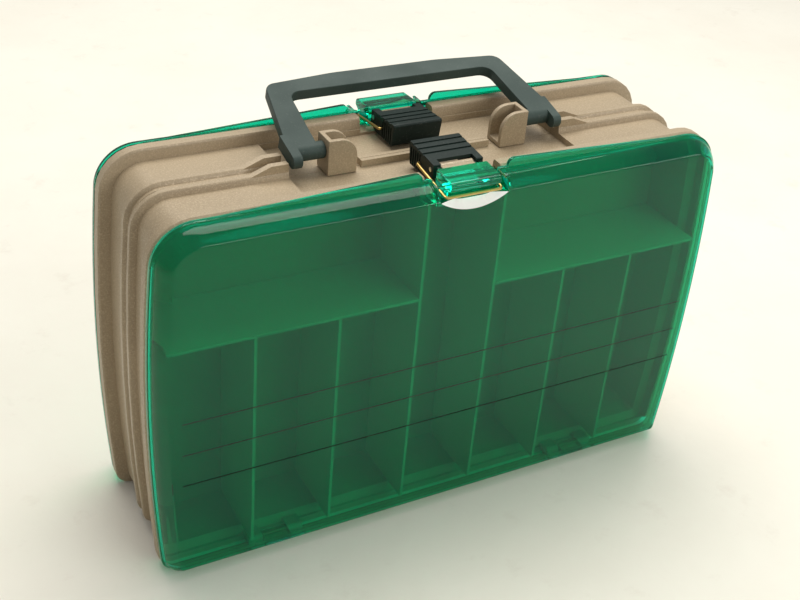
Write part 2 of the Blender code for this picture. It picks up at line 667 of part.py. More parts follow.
def build_handle(parts, cutters):
    """Upright first, then leaned back about the axle."""
    back_face = HANDLE_THICKNESS - BARREL_RADIUS
    middle = (back_face - BARREL_RADIUS) / 2
    handle = slab_xz("handle", handle_outline(), middle, HANDLE_THICKNESS, parts, edge=EDGE)
    for side in (-1, 1):
        inner = side * (BRACKET_OUTER + RUN)
        outer = side * (HANDLE_OUTER - EDGE)
        barrel = rod(f"handle_barrel_{side}", (inner, 0, 0), (outer, 0, 0), BARREL_RADIUS, cutters, 24)
        combine(handle, barrel, "UNION")
        heel_points = [
            (-BARREL_RADIUS, HEEL_REACH), (-BARREL_RADIUS, -HEEL_REACH),
            (BARREL_RADIUS * 0.7, -HEEL_REACH), (BARREL_RADIUS * 0.7, HEEL_REACH),
        ]
        heel = slab_yz(f"handle_heel_{side}", round_corners(heel_points, [0.0, 0.0034, 0.0034, 0.0], 4),
                       side * (HANDLE_OUTER - HEEL_WIDTH / 2), HEEL_WIDTH, cutters, edge=0.0004)
        combine(handle, heel, "UNION")
        stud_end = side * (BRACKET_OUTER - BRACKET_WALL - 0.0004)
        stud = rod(f"handle_stud_{side}", (stud_end, 0, 0), (outer, 0, 0), AXLE_RADIUS, cutters, 20)
        combine(handle, stud, "UNION")
        for tool in (barrel, heel, stud):
            place(tool, HANDLE_PLACE)
    place(handle, HANDLE_PLACE)
    return handle


HANDLE_PLACE = Matrix.Translation((0, 0, AXLE_HEIGHT)) @ Matrix.Rotation(-HANDLE_LEAN, 4, "X")


def build_bracket(label, side, parts, cutters):
    """U-shaped post: a wall that holds the handle's stud and two round-shouldered plates."""
    base = BAY_FLOOR + GAP
    plate = [
        (BRACKET_OUTER, base), (BRACKET_OUTER, BRACKET_TOP),
        (BRACKET_INNER, BRACKET_TOP), (BRACKET_INNER, base),
    ]
    plate = [(side * x, z) for x, z in round_corners(plate, [0, 0, BRACKET_ROUND, 0], 8)]
    bracket = slab_xz("handle_bracket_" + label, plate, 0, BRACKET_DEPTH, parts)
    wall = side * (BRACKET_OUTER - BRACKET_WALL)
    inner = side * (BRACKET_INNER - 0.002)
    half_gap = BRACKET_DEPTH / 2 - BRACKET_WALL
    hollow = box("bracket_hollow_" + label, (min(wall, inner), -half_gap, base + BRACKET_WALL),
                 (max(wall, inner), half_gap, BRACKET_TOP + 0.002), cutters)
    combine(bracket, hollow, "DIFFERENCE")
    hole = rod("bracket_hole_" + label, (side * (BRACKET_OUTER + 0.002), 0, AXLE_HEIGHT),
               (side * (BRACKET_OUTER - BRACKET_WALL - 0.002), 0, AXLE_HEIGHT), AXLE_RADIUS + GAP, cutters, 20)
    combine(bracket, hole, "DIFFERENCE")
    middle = side * (BRACKET_OUTER + BRACKET_INNER) / 2
    tenon = box("bracket_tenon_" + label, (middle - TENON_LENGTH / 2, -TENON_DEPTH / 2, base - TENON_DROP),
                (middle + TENON_LENGTH / 2, TENON_DEPTH / 2, base + BRACKET_WALL / 2), cutters)
    combine(bracket, tenon, "UNION")
    return bracket


# ---- assembly -----------------------------------------------------------------------------------
COLOURS = {
    "tray": ("tan_plastic", (0.40, 0.32, 0.22), 0.45, 0.0),
    "lid": ("clear_green_plastic", (0.01, 0.22, 0.11), 0.12, 0.0),
    "plate": ("tan_plate", (0.34, 0.27, 0.18), 0.55, 0.0),
    "handle": ("dark_grey_plastic", (0.085, 0.11, 0.095), 0.50, 0.0),
    "lever": ("black_plastic", (0.020, 0.030, 0.027), 0.45, 0.0),
    "steel": ("steel", (0.55, 0.55, 0.55), 0.30, 1.0),
    "brass": ("brass_wire", (0.60, 0.42, 0.13), 0.32, 1.0),
}


def set_origin(obj, point):
    """Move an object's origin to a world point without moving its mesh."""
    offset = obj.matrix_world.inverted() @ Vector(point)
    obj.data.transform(Matrix.Translation(-offset))
    obj.matrix_world = obj.matrix_world @ Matrix.Translation(offset)


def build_side(prefix, parts, cutters):
    """Everything on one side of the parting plane, built facing -Y."""
    lever = build_lever(prefix, parts, cutters)
    bail = build_bail(prefix, parts)
    lid = build_lid(prefix, parts, cutters)
    set_origin(lever, (0, -PIVOT_OUT, PIVOT_HEIGHT))
    set_origin(bail, (0, -HOOK_OUT, HOOK_HEIGHT))
    set_origin(lid, (0, -HINGE_OUT, HINGE_HEIGHT))
    pins = build_hinge_pins(prefix, parts) + [build_latch_pin(prefix, parts)]
    return {
        "tray": [build_tray(prefix, parts, cutters)],
        "lid": [lid],
        "plate": build_plates(prefix, parts),
        "lever": [lever],
        "steel": pins,
        "brass": [bail],
    }


def main():
    for obj in list(bpy.data.objects):
        bpy.data.objects.remove(obj)
    parts = new_collection("tackle_box")
    cutters = new_collection("cutters")
    materials = {key: make_material(*values) for key, values in COLOURS.items()}

    groups = [build_side("front", parts, cutters)]
    before = set(parts.objects) | set(cutters.objects)
    groups.append(build_side("back", parts, cutters))
    for obj in (set(parts.objects) | set(cutters.objects)) - before:
        place(obj, ROTATE_BACK)
    handle = build_handle(parts, cutters)
    brackets = [build_bracket(label, side, parts, cutters) for label, side in (("left", -1), ("right", 1))]
    groups.append({"handle": [handle], "tray": brackets})
    for group in groups:
        for key, members in group.items():
            for obj in members:
                obj.data.materials.append(materials[key])
                smooth(obj)


main()
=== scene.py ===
import math
import bmesh
import bpy
from mathutils import Matrix, Vector


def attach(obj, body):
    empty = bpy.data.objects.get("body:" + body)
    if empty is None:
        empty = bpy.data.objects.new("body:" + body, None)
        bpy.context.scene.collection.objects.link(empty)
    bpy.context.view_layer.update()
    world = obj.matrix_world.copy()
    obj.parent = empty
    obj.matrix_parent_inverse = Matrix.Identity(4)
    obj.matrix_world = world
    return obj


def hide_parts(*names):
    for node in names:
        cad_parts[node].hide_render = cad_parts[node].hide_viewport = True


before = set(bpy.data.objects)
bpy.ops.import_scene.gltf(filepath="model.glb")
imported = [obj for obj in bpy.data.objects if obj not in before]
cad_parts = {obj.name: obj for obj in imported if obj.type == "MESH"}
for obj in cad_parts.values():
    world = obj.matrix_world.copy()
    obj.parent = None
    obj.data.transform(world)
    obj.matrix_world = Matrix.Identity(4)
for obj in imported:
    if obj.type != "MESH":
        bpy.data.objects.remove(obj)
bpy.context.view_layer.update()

# ---- The studio --------------------------------------------------------------------------------
# A pale painted board under an even sky, a broad soft lamp high behind the box's right shoulder
# and a weaker one to the right in front. Nothing here belongs to the box.
LENS = 57.825
SENSOR_WIDTH = 36.0
CAMERA_SHIFT = (-0.05407, 0.00898)
CAMERA_PLACE = (-0.30639, -0.50862, 0.48789)
CAMERA_TURN = (0.992868, -0.094558, -0.512069)
LAMP_AIM = (0, 0, 0.1)
SKY_COLOUR = (0.97, 0.98, 1.0, 1.0)
SKY_STRENGTH = 0.42
FLOOR_REACH = 6

scene = bpy.context.scene
scene.view_settings.view_transform = "Standard"

camera_data = bpy.data.cameras.new("camera")
camera_data.sensor_width = SENSOR_WIDTH
camera_data.lens = LENS
camera_data.shift_x, camera_data.shift_y = CAMERA_SHIFT
camera = bpy.data.objects.new("camera", camera_data)
camera.location = CAMERA_PLACE
camera.rotation_euler = CAMERA_TURN
scene.collection.objects.link(camera)
scene.camera = camera


def soft_lamp(name, place, width, height, watts, colour):
    """A soft box lamp of this width and height in metres, turned to the box."""
    lamp = bpy.data.lights.new(name, "AREA")
    lamp.shape = "RECTANGLE"
    lamp.size = width
    lamp.size_y = height
    lamp.energy = watts
    lamp.color = colour
    holder = bpy.data.objects.new(name, lamp)
    holder.location = place
    holder.rotation_euler = (Vector(LAMP_AIM) - Vector(place)).to_track_quat("-Z", "Y").to_euler()
    scene.collection.objects.link(holder)


soft_lamp("window", (0.22, 0.45, 1.45), width=1.4, height=1.1, watts=24.0, colour=(1.0, 0.98, 0.94))
soft_lamp("room", (0.70, -1.15, 0.80), width=1.3, height=0.5, watts=8.5, colour=(1.0, 0.99, 0.97))

world = bpy.data.worlds.new("sky")
world.use_nodes = True
sky = world.node_tree.nodes["Background"]
sky.inputs["Color"].default_value = SKY_COLOUR
sky.inputs["Strength"].default_value = SKY_STRENGTH
scene.world = world


class Wire:
    """A value in a material's node tree. Sums written on wires become Math nodes."""

    def __init__(self, tree, socket=None):
        self.tree = tree
        self.socket = socket

    def node(self, kind, settings=(), sockets=(), out=0):
        """Add a node: its settings first, then the value or wire of each socket."""
        made = self.tree.nodes.new(kind)
        for name, value in dict(settings).items():
            if name == "stops":
                while len(made.color_ramp.elements) < len(value):
                    made.color_ramp.elements.new(0.5)
                for element, (position, colour) in zip(made.color_ramp.elements, value):
                    element.position = position
                    element.color = colour
            else:
                setattr(made, name, value)
        for key, value in dict(sockets).items():
            if isinstance(value, Wire):
                self.tree.links.new(value.socket, made.inputs[key])
            else:
                made.inputs[key].default_value = value
        return Wire(self.tree, made.outputs[out])

    def sum(self, operation, first, second):
        return self.node("ShaderNodeMath", {"operation": operation}, {0: first, 1: second})

    def __add__(self, other):
        return self.sum("ADD", self, other)

    def __radd__(self, other):
        return self.sum("ADD", other, self)

    def __sub__(self, other):
        return self.sum("SUBTRACT", self, other)

    def __rsub__(self, other):
        return self.sum("SUBTRACT", other, self)

    def __mul__(self, other):
        return self.sum("MULTIPLY", self, other)

    def __rmul__(self, other):
        return self.sum("MULTIPLY", other, self)

    def noise(self, scale, detail=2.0, roughness=0.5):
        """Cloudy pattern from 0 to 1, fixed to the piece."""
        place = self.node("ShaderNodeTexCoord", out="Object")
        sockets = {"Vector": place, "Scale": scale, "Detail": detail, "Roughness": roughness}
        return self.node("ShaderNodeTexNoise", {}, sockets, "Fac")

    def ramp(self, stops):
        """This value spread over stops of (position, grey)."""
        greys = [(position, (grey, grey, grey, 1.0)) for position, grey in stops]
        return self.node("ShaderNodeValToRGB", {"stops": greys}, {0: self})

    def tint(self, first, second):
        """The first colour where this value is 0, the second where it is 1."""
        return self.node("ShaderNodeMix", {"data_type": "RGBA"}, {0: self, 6: first, 7: second}, 2)


def new_finish(name):
    """An empty material: (material, a wire to start from, its output node)."""
    material = bpy.data.materials.new(name)
    material.use_nodes = True
    material.node_tree.nodes.clear()
    start = Wire(material.node_tree)
    output = material.node_tree.nodes.new("ShaderNodeOutputMaterial")
    return material, start, output


def close_finish(start, output, shader):
    """Join the finished shader to the material's output."""
    start.tree.links.new(shader.socket, output.inputs["Surface"])


board, start, output = new_finish("painted_board")
patches = start.noise(5.0, 5.0, 0.6).ramp([(0.40, 0.0), (0.62, 1.0)])
scuffs = start.noise(34.0, 6.0, 0.7).ramp([(0.58, 0.0), (0.70, 1.0)])
paint = (patches * 0.6).tint((0.82, 0.79, 0.69, 1.0), (0.77, 0.73, 0.63, 1.0))
paint = (scuffs * 0.35).tint(paint, (0.68, 0.62, 0.53, 1.0))
sockets = {"Strength": 0.25, "Distance": 0.002, "Height": start.noise(60.0, 6.0)}
relief = start.node("ShaderNodeBump", {}, sockets)
sockets = {"Base Color": paint, "Roughness": 0.75, "Normal": relief}
close_finish(start, output, start.node("ShaderNodeBsdfPrincipled", {}, sockets))

mesh = bpy.data.meshes.new("floor")
corners = [(x * FLOOR_REACH, y * FLOOR_REACH, 0) for x, y in ((-1, -1), (1, -1), (1, 1), (-1, 1))]
mesh.from_pydata(corners, [], [(0, 1, 2, 3)])
mesh.materials.append(board)
floor = bpy.data.objects.new("floor", mesh)
scene.collection.objects.link(floor)

# ---- The two trays -----------------------------------------------------------------------------
# One moulding used twice, back to back: tan polypropylene with a metallic fleck, injection moulded.
# Its flange, bead, handle bay, latch lug and hinge knuckles are all of a piece with it.
WELD = 0.000002
FLAT_ANGLE = 0.5
CREASE_ANGLE = 38
TRAY_EDGE = 0.0007


def moulded_copy(name, node, rounding, finish):
    """A CAD solid welded into one skin, its sharp edges rounded as a mould leaves them."""
    bm = bmesh.new()
    bm.from_mesh(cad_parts[node].data)
    bmesh.ops.remove_doubles(bm, verts=bm.verts, dist=WELD)
    bmesh.ops.dissolve_limit(bm, angle_limit=math.radians(FLAT_ANGLE), verts=bm.verts, edges=bm.edges)
    mesh = bpy.data.meshes.new(name)
    bm.to_mesh(mesh)
    bm.free()
    mesh.materials.append(finish)
    piece = bpy.data.objects.new(name, mesh)
    scene.collection.objects.link(piece)
    return round_edges(piece, rounding)


def round_edges(piece, rounding, angle=CREASE_ANGLE):
    """Bevel the edges sharper than the angle, then shade the rest smooth."""
    if rounding:
        bevel = piece.modifiers.new("edges", "BEVEL")
        bevel.width = rounding
        bevel.segments = 2
        bevel.limit_method = "ANGLE"
        bevel.angle_limit = math.radians(angle)
    settle(piece)
    piece.data.shade_smooth()
    piece.data.set_sharp_from_angle(angle=math.radians(angle))
    weighted = piece.modifiers.new("normals", "WEIGHTED_NORMAL")
    weighted.keep_sharp = True
    return settle(piece)


def settle(piece, tools=()):
    """Write the piece's modifiers into its mesh and throw away the tools they used."""
    bpy.context.view_layer.update()
    depsgraph = bpy.context.evaluated_depsgraph_get()
    mesh = bpy.data.meshes.new_from_object(piece.evaluated_get(depsgraph))
    piece.modifiers.clear()
    piece.data = mesh
    for tool in tools:
        bpy.data.objects.remove(tool)
    return piece


def belongs(piece, body, node):
    """The piece stands in for a CAD node, which it hides, and moves with its body."""
    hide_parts(node)
    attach(piece, body)


def fleck_plastic(name, light, deep, speck, roughness):
    """Tan moulding compound: a fine metallic fleck, faint flow marks and a matt mould texture."""
    material, start, output = new_finish(name)
    flow = start.noise(14.0, 3.0).ramp([(0.35, 0.0), (0.70, 1.0)])
    fleck = start.noise(1500.0, 1.0, 0.4).ramp([(0.52, 0.0), (0.66, 1.0)])
    shade = start.noise(950.0, 2.0).ramp([(0.38, 1.0), (0.50, 0.0)])
    colour = flow.tint(light, deep)
    colour = (fleck * 0.38).tint(colour, speck)
    colour = (shade * 0.16).tint(colour, (deep[0] * 0.5, deep[1] * 0.5, deep[2] * 0.5, 1.0))
    gloss = roughness + 0.10 * flow - 0.10 * fleck
    grain = start.noise(2200.0, 2.0) + 0.35 * start.noise(260.0, 2.0)
    bump = start.node("ShaderNodeBump", {}, {"Strength": 0.22, "Distance": 0.0002, "Height": grain})
    sockets = {"Base Color": colour, "Roughness": gloss, "Metallic": 0.25 * fleck, "Normal": bump}
    close_finish(start, output, start.node("ShaderNodeBsdfPrincipled", {}, sockets))
    return material


tan_plastic = fleck_plastic("tan_plastic", (0.39, 0.305, 0.195, 1.0), (0.32, 0.245, 0.15, 1.0),
                            (0.60, 0.49, 0.34, 1.0), 0.42)
for side in ("front", "back"):
    tray = moulded_copy(side + "_tray_moulding", side + "_tray", TRAY_EDGE, tan_plastic)
    belongs(tray, "body", side + "_tray")

# ---- Partitions, shelves and dividers ----------------------------------------------------------
# Flat plates of the same compound without the fleck, cut to the tray's depth. Their colour is a
# lighter copy of the trays' colour: painted light that makes their edges read bright behind the lid.
# They are pushed into the trays before the lids go on.
tan_plate = fleck_plastic("tan_plate", (0.62, 0.52, 0.38, 1.0), (0.55, 0.46, 0.33, 1.0),
                          (0.70, 0.60, 0.46, 1.0), 0.55)
for name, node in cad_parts.items():
    if any(word in name for word in ("partition", "shelf", "divider")):
        node.data.materials.clear()
        node.data.materials.append(tan_plate)

# ---- Steel pins --------------------------------------------------------------------------------
# Cold-drawn steel wire, cut to length and pressed in: two hinge pins under each lid, and one
# that each latch lever turns on.
steel, start, output = new_finish("drawn_steel")
drawn = start.noise(700.0, 3.0)
colour = drawn.tint((0.62, 0.61, 0.59, 1.0), (0.42, 0.41, 0.40, 1.0))
sockets = {"Base Color": colour, "Roughness": 0.24 + 0.16 * drawn, "Metallic": 1.0}
close_finish(start, output, start.node("ShaderNodeBsdfPrincipled", {}, sockets))
for name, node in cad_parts.items():
    if "_pin" in name:
        node.data.materials.clear()
        node.data.materials.append(steel)

# ---- The two lids ------------------------------------------------------------------------------
# Clear green styrene, one moulding used twice. Each is a shallow dish with a stepped rim, a thin
# raised lip on its top rim, a catch block over a finger scoop, and three fine ruled grooves.

# the tray's outline, which the lid follows
WIDTH = 0.325
HEIGHT = 0.204
BODY_DEPTH = 0.078
HALF_BODY = BODY_DEPTH / 2
SIDE_BOW = 0.0052
TOP_RADIUS = 0.022
BOTTOM_RADIUS = 0.009
SMALLEST_RADIUS = 0.0015
BOW_RADIUS = ((HEIGHT / 2) ** 2 + SIDE_BOW ** 2) / (2 * SIDE_BOW)
BOW_CENTRE = WIDTH / 2 - BOW_RADIUS
CORNER_STEPS = 20
SIDE_STEPS = 24
ROTATE_BACK = Matrix.Rotation(math.pi, 4, "Z")

# the dish, its stepped rim and its rounded shoulder
WALL = 0.0020
GAP = 0.0003
RUN = 0.0004
LID_DEPTH = 0.0130
LID_FACE = HALF_BODY + LID_DEPTH
LID_BACK = HALF_BODY + GAP
LID_FACE_INSET = 0.0029
LID_CREASE = 34
FACE_ROUND = 0.0030
RIM_STEP = 0.0028
RIM_CLEAR = 0.0003
RIM_LEDGE = 0.0012
RIM_EDGE = 0.0003
STEP_EDGE = 0.0004
SHOULDER_TURN = 0.0022
SHOULDER_SLOPE = 62
SHOULDER_RISE = 0.0032
SHOULDER_CROWN = 0.0006
SHOULDER_FOOT = 0.0022
FOOT_DROP = 0.0008
FOOT_SHIFT = 0.0004

# the raised lips, one each side of the latch
LIP_INNER = 0.0242
LIP_OUTER = 0.1240
LIP_RISE = 0.0042
LIP_ROUND = 0.0034
LIP_BACK = 0.0002
LIP_END_DROP = 0.0003

# the latch recess, the finger scoop under it and the catch block in it
LEVER_HALF = 0.0141
RECESS_HALF = LEVER_HALF + 0.0049
RECESS_FLOOR = HEIGHT - 0.0077
RECESS_PAST = 0.001
SCOOP_HALF = 0.0290
SCOOP_RADIUS = 0.060
SCOOP_LOW = HEIGHT - 0.0136
SCOOP_UNDER = 0.0010
SCOOP_SKIN = 0.0012
SCOOP_DOWN = 0.02
SCOOP_UP = 0.012
SKIN_REACH = 0.03
SCOOP_STEPS = 160
SCOOP_WALL_MARGIN = 0.004
SCOOP_WALL_DROP = 0.0015
SCOOP_WALL_TOP = LID_FACE_INSET + 0.0034
PLATE = 0.0015
PLATE_FRONT = HALF_BODY + 0.0065
NOTCH_FLOOR = HEIGHT - 0.0082
BLOCK_REAR = HALF_BODY - 0.0025
BLOCK_TOP_REAR = HEIGHT + 0.0026
BLOCK_TOP_FRONT = HEIGHT + 0.0015
BLOCK_UNDERCUT = LID_FACE - 0.0027
BLOCK_LIP = HEIGHT - 0.0040
BLOCK_NOSE = 0.0018
BLOCK_REAR_ROUND = 0.0008
BLOCK_FRONT_ROUND = 0.0022
BLOCK_NOSE_ROUND = 0.0006
BLOCK_EDGE = 0.0009
OVERCUT = 0.01

# the two hinges on its bottom edge
HINGE_X = 0.0950
HINGE_HEIGHT = 0.0032
HINGE_OUT = HALF_BODY + GAP / 2
HINGE_RADIUS = 0.0029
HINGE_RELIEF = 0.0046
HINGE_REBATE = 0.0042
HINGE_WEB = HINGE_REBATE + 0.0020
HINGE_PIN_RADIUS = 0.0010
PIN_STEPS = 16
LID_KNUCKLE = 0.0140
TRAY_KNUCKLE = 0.0080

# the ruled grooves
RULES = 3
RULE_HEIGHT = 0.0637
RULE_SPACING = 0.0190
RULE_WIDTH = 0.0005
RULE_DEPTH = 0.00035
RULE_MARGIN = 0.0075

# the order of the lid's materials, and how near a face lies to the scoop or groove it is sorted into
CLEAR, PAINTED_GLARE, SHADED_GROOVE = 0, 1, 2
NEAR_SCOOP = 0.0002
ALONG_SCOOP = 0.98
NEAR_FACE = 0.0001


def mesh_object(name, bm):
    """Finish a mesh with its faces pointing outwards."""
    bmesh.ops.recalc_face_normals(bm, faces=bm.faces)
    mesh = bpy.data.meshes.new(name)
    bm.to_mesh(mesh)
    bm.free()
    obj = bpy.data.objects.new(name, mesh)
    scene.collection.objects.link(obj)
    return obj


def combine(target, tool, operation, tools):
    """Queue a union or a cut on the target, and note the tool for removal."""
    modifier = target.modifiers.new(tool.name, "BOOLEAN")
    modifier.operation = operation
    modifier.solver = "EXACT"
    modifier.object = tool
    tools.append(tool)


def box(name, low, high):
    """A block between two opposite corners."""
    low, high = Vector(low), Vector(high)
    bm = bmesh.new()
    matrix = Matrix.Translation((low + high) / 2) @ Matrix.Diagonal((*(high - low), 1.0))
    bmesh.ops.create_cube(bm, size=1.0, matrix=matrix)
    return mesh_object(name, bm)


def rod(name, start, end, radius, segments=24):
    """A round bar between two points."""
    start, end = Vector(start), Vector(end)
    along = end - start
    turn = along.to_track_quat("Z", "Y").to_matrix().to_4x4()
    bm = bmesh.new()
    bmesh.ops.create_cone(
        bm, cap_ends=True, segments=segments, radius1=radius, radius2=radius, depth=along.length,
        matrix=Matrix.Translation((start + end) / 2) @ turn)
    return mesh_object(name, bm)


def prism(name, points, middle, thickness, place):
    """A closed outline of (u, v) points given thickness; place turns (u, v, depth) into (x, y, z)."""
    bm = bmesh.new()
    rings = [[bm.verts.new(place(u, v, middle + half)) for u, v in points]
             for half in (-thickness / 2, thickness / 2)]
    for i in range(len(points)):
        j = (i + 1) % len(points)
        bm.faces.new((rings[0][i], rings[0][j], rings[1][j], rings[1][i]))
    bm.faces.new(rings[0])
    bm.faces.new(rings[1])
    return mesh_object(name, bm)


def across(x, z, depth):
    """Place an outline seen from the front."""
    return (x, depth, z)


def lengthwise(y, z, depth):
    """Place an outline seen from the side."""
    return (depth, y, z)


def arc(centre, radius, start, end, steps):
    """Points on an arc between two angles in degrees, both ends included."""
    angles = [math.radians(start + (end - start) * i / steps) for i in range(steps + 1)]
    return [(centre[0] + radius * math.cos(a), centre[1] + radius * math.sin(a)) for a in angles]


def round_corners(points, radii, steps=4):
    """Replace each corner of a closed outline by an arc of its radius."""
    rounded = []
    for i, radius in enumerate(radii):
        corner = Vector(points[i])
        before = (Vector(points[i - 1]) - corner).normalized()
        after = (Vector(points[(i + 1) % len(points)]) - corner).normalized()
        if radius == 0:
            rounded.append(tuple(corner))
            continue
        half_angle = before.angle(after) / 2
        centre = corner + (before + after).normalized() * (radius / math.sin(half_angle))
        first = corner + before * (radius / math.tan(half_angle)) - centre
        last = corner + after * (radius / math.tan(half_angle)) - centre
        sweep = first.angle_signed(last)
        for step in range(steps + 1):
            angle = -sweep * step / steps
            rounded.append(tuple(centre + Matrix.Rotation(angle, 2) @ first))
    return rounded


def corner_arc(radius, inset, top):
    """Centre, radius and tangent angle of a corner arc that meets the bowed side."""
    radius = max(radius - inset, SMALLEST_RADIUS)
    height = HEIGHT - inset - radius if top else inset + radius
    rise = height - HEIGHT / 2
    reach = BOW_CENTRE + math.sqrt((BOW_RADIUS - inset - radius) ** 2 - rise ** 2)
    return (reach, height), radius, math.degrees(math.atan2(rise, reach - BOW_CENTRE))


def box_outline(inset):
    """Closed (x, z) outline, inset from the tray outline: flat top and bottom, bowed sides."""
    low_centre, low_radius, low_angle = corner_arc(BOTTOM_RADIUS, inset, top=False)
    top_centre, top_radius, top_angle = corner_arc(TOP_RADIUS, inset, top=True)
    side = arc((BOW_CENTRE, HEIGHT / 2), BOW_RADIUS - inset, low_angle, top_angle, SIDE_STEPS)
    right = arc(low_centre, low_radius, -90, low_angle, CORNER_STEPS) + side[1:-1]
    right += arc(top_centre, top_radius, top_angle, 90, CORNER_STEPS)
    left = [(-x, z) for x, z in reversed(right)]
    return right + left


def lip_outline(side):
    """Wedge that stands up from the lid's rim, highest beside the latch."""
    base = HEIGHT - WALL / 2
    top = HEIGHT + LIP_RISE
    points = [(LIP_INNER, base), (LIP_OUTER, base), (LIP_OUTER, HEIGHT - LIP_END_DROP), (LIP_INNER, top)]
    radii = [0, 0, 0, LIP_ROUND]
    return [(side * x, z) for x, z in round_corners(points, radii, 5)]


def block_outline():
    """Catch block that the wire bail hooks under."""
    root = RECESS_FLOOR - WALL / 2
    sill = NOTCH_FLOOR + RUN
    points = [
        (-LID_BACK - GAP, root),
        (-LID_BACK - GAP, sill),
        (-BLOCK_REAR, sill),
        (-BLOCK_REAR, BLOCK_TOP_REAR),
        (-LID_FACE, BLOCK_TOP_FRONT),
        (-LID_FACE, BLOCK_LIP + BLOCK_NOSE),
        (-BLOCK_UNDERCUT, BLOCK_LIP),
        (-BLOCK_UNDERCUT, root),
    ]
    return round_corners(points, [0, 0, 0, BLOCK_REAR_ROUND, BLOCK_FRONT_ROUND, BLOCK_NOSE_ROUND, 0, 0], 3)


def hinge_axis(x):
    """The point on the front lid's hinge axis at this x."""
    return (x, -HINGE_OUT, HINGE_HEIGHT)


def tray_knuckles(side):
    """X ranges of the two tray knuckles of one hinge."""
    inner = LID_KNUCKLE / 2 + RUN
    outer = inner + TRAY_KNUCKLE
    centre = side * HINGE_X
    return [(centre - outer, centre - inner), (centre + inner, centre + outer)]


def lid_stations():
    """Outside from the face to the rim, then inside from the rim back to the face."""
    step = LID_BACK + RIM_STEP
    corner = (LID_FACE - SHOULDER_TURN, LID_FACE_INSET + SHOULDER_RISE + SHOULDER_TURN)
    face_turn = arc(corner, SHOULDER_TURN, 0, -SHOULDER_SLOPE, 6)
    foot = (LID_BACK + RIM_STEP + SHOULDER_FOOT, LID_FACE_INSET - FOOT_DROP)
    out, inset = face_turn[-1]
    for part in (0.15, 0.3, 0.45, 0.6, 0.75, 0.9, 1.0):
        crown = SHOULDER_CROWN * math.sin(math.pi * part)
        face_turn.append((out * (1 - part) + foot[0] * part, inset * (1 - part) + foot[1] * part - crown))
    ledge = [(step + RIM_LEDGE, RIM_LEDGE * 1.6), (step + RIM_LEDGE * 0.4, RIM_LEDGE * 0.9)]
    ledge.append((step, RIM_CLEAR * 1.6))
    rim = [(step - STEP_EDGE, RIM_CLEAR), (LID_BACK + RIM_EDGE, RIM_CLEAR), (LID_BACK, RIM_CLEAR + RIM_EDGE)]
    out, inset = face_turn[5]
    inside = [
        (LID_BACK, RIM_CLEAR + WALL),
        (step, RIM_LEDGE + WALL),
        (foot[0] - FOOT_SHIFT, foot[1] + WALL),
        (out - WALL * 0.8, inset + WALL * 0.6),
        (LID_FACE - WALL, corner[1]),
    ]
    return face_turn + ledge + rim + inside


def lid_shell(name):
    """The dish, lofted through the stations and closed by a flat face on both sides."""
    bm = bmesh.new()
    rings = [[bm.verts.new((x, -out, z)) for x, z in box_outline(inset)] for out, inset in lid_stations()]
    for ring, following in zip(rings, rings[1:]):
        for i in range(len(ring)):
            j = (i + 1) % len(ring)
            bm.faces.new((ring[i], ring[j], following[j], following[i]))
    bm.faces.new(rings[0])
    bm.faces.new(rings[-1])
    return mesh_object(name, bm)


def row_tree(name):
    """Geometry Nodes: a row of equal square bars, one for each groove or flute to be cut."""
    tree = bpy.data.node_groups.new(name, "GeometryNodeTree")
    kinds = {"Count": "Int", "Start": "Vector", "Step": "Vector", "Bar": "Vector", "Finish": "Material"}
    for label, kind in kinds.items():
        tree.interface.new_socket(label, in_out="INPUT", socket_type="NodeSocket" + kind)
    tree.interface.new_socket("Geometry", in_out="OUTPUT", socket_type="NodeSocketGeometry")
    add, link = tree.nodes.new, tree.links.new
    given, result = add("NodeGroupInput"), add("NodeGroupOutput")
    line, bar = add("GeometryNodeMeshLine"), add("GeometryNodeMeshCube")
    spread = add("GeometryNodeInstanceOnPoints")
    real, coat = add("GeometryNodeRealizeInstances"), add("GeometryNodeSetMaterial")
    link(given.outputs["Count"], line.inputs["Count"])
    link(given.outputs["Start"], line.inputs["Start Location"])
    link(given.outputs["Step"], line.inputs["Offset"])
    link(given.outputs["Bar"], bar.inputs["Size"])
    link(line.outputs["Mesh"], spread.inputs["Points"])
    link(bar.outputs["Mesh"], spread.inputs["Instance"])
    link(spread.outputs["Instances"], real.inputs["Geometry"])
    link(real.outputs["Geometry"], coat.inputs["Geometry"])
    link(given.outputs["Finish"], coat.inputs["Material"])
    link(coat.outputs["Geometry"], result.inputs["Geometry"])
    return tree


def row_of_bars(name, count, first, step, bar, finish):
    """Run the row tree once and keep its mesh."""
    holder = bpy.data.objects.new(name, bpy.data.meshes.new(name))
    scene.collection.objects.link(holder)
    modifier = holder.modifiers.new("row", "NODES")
    modifier.node_group = bar_row
    given = {"Count": count, "Start": first, "Step": step, "Bar": bar, "Finish": finish}
    for item in bar_row.interface.items_tree:
        if item.in_out == "INPUT":
            modifier[item.identifier] = given[item.name]
    return settle(holder)


bar_row = row_tree("bar_row")

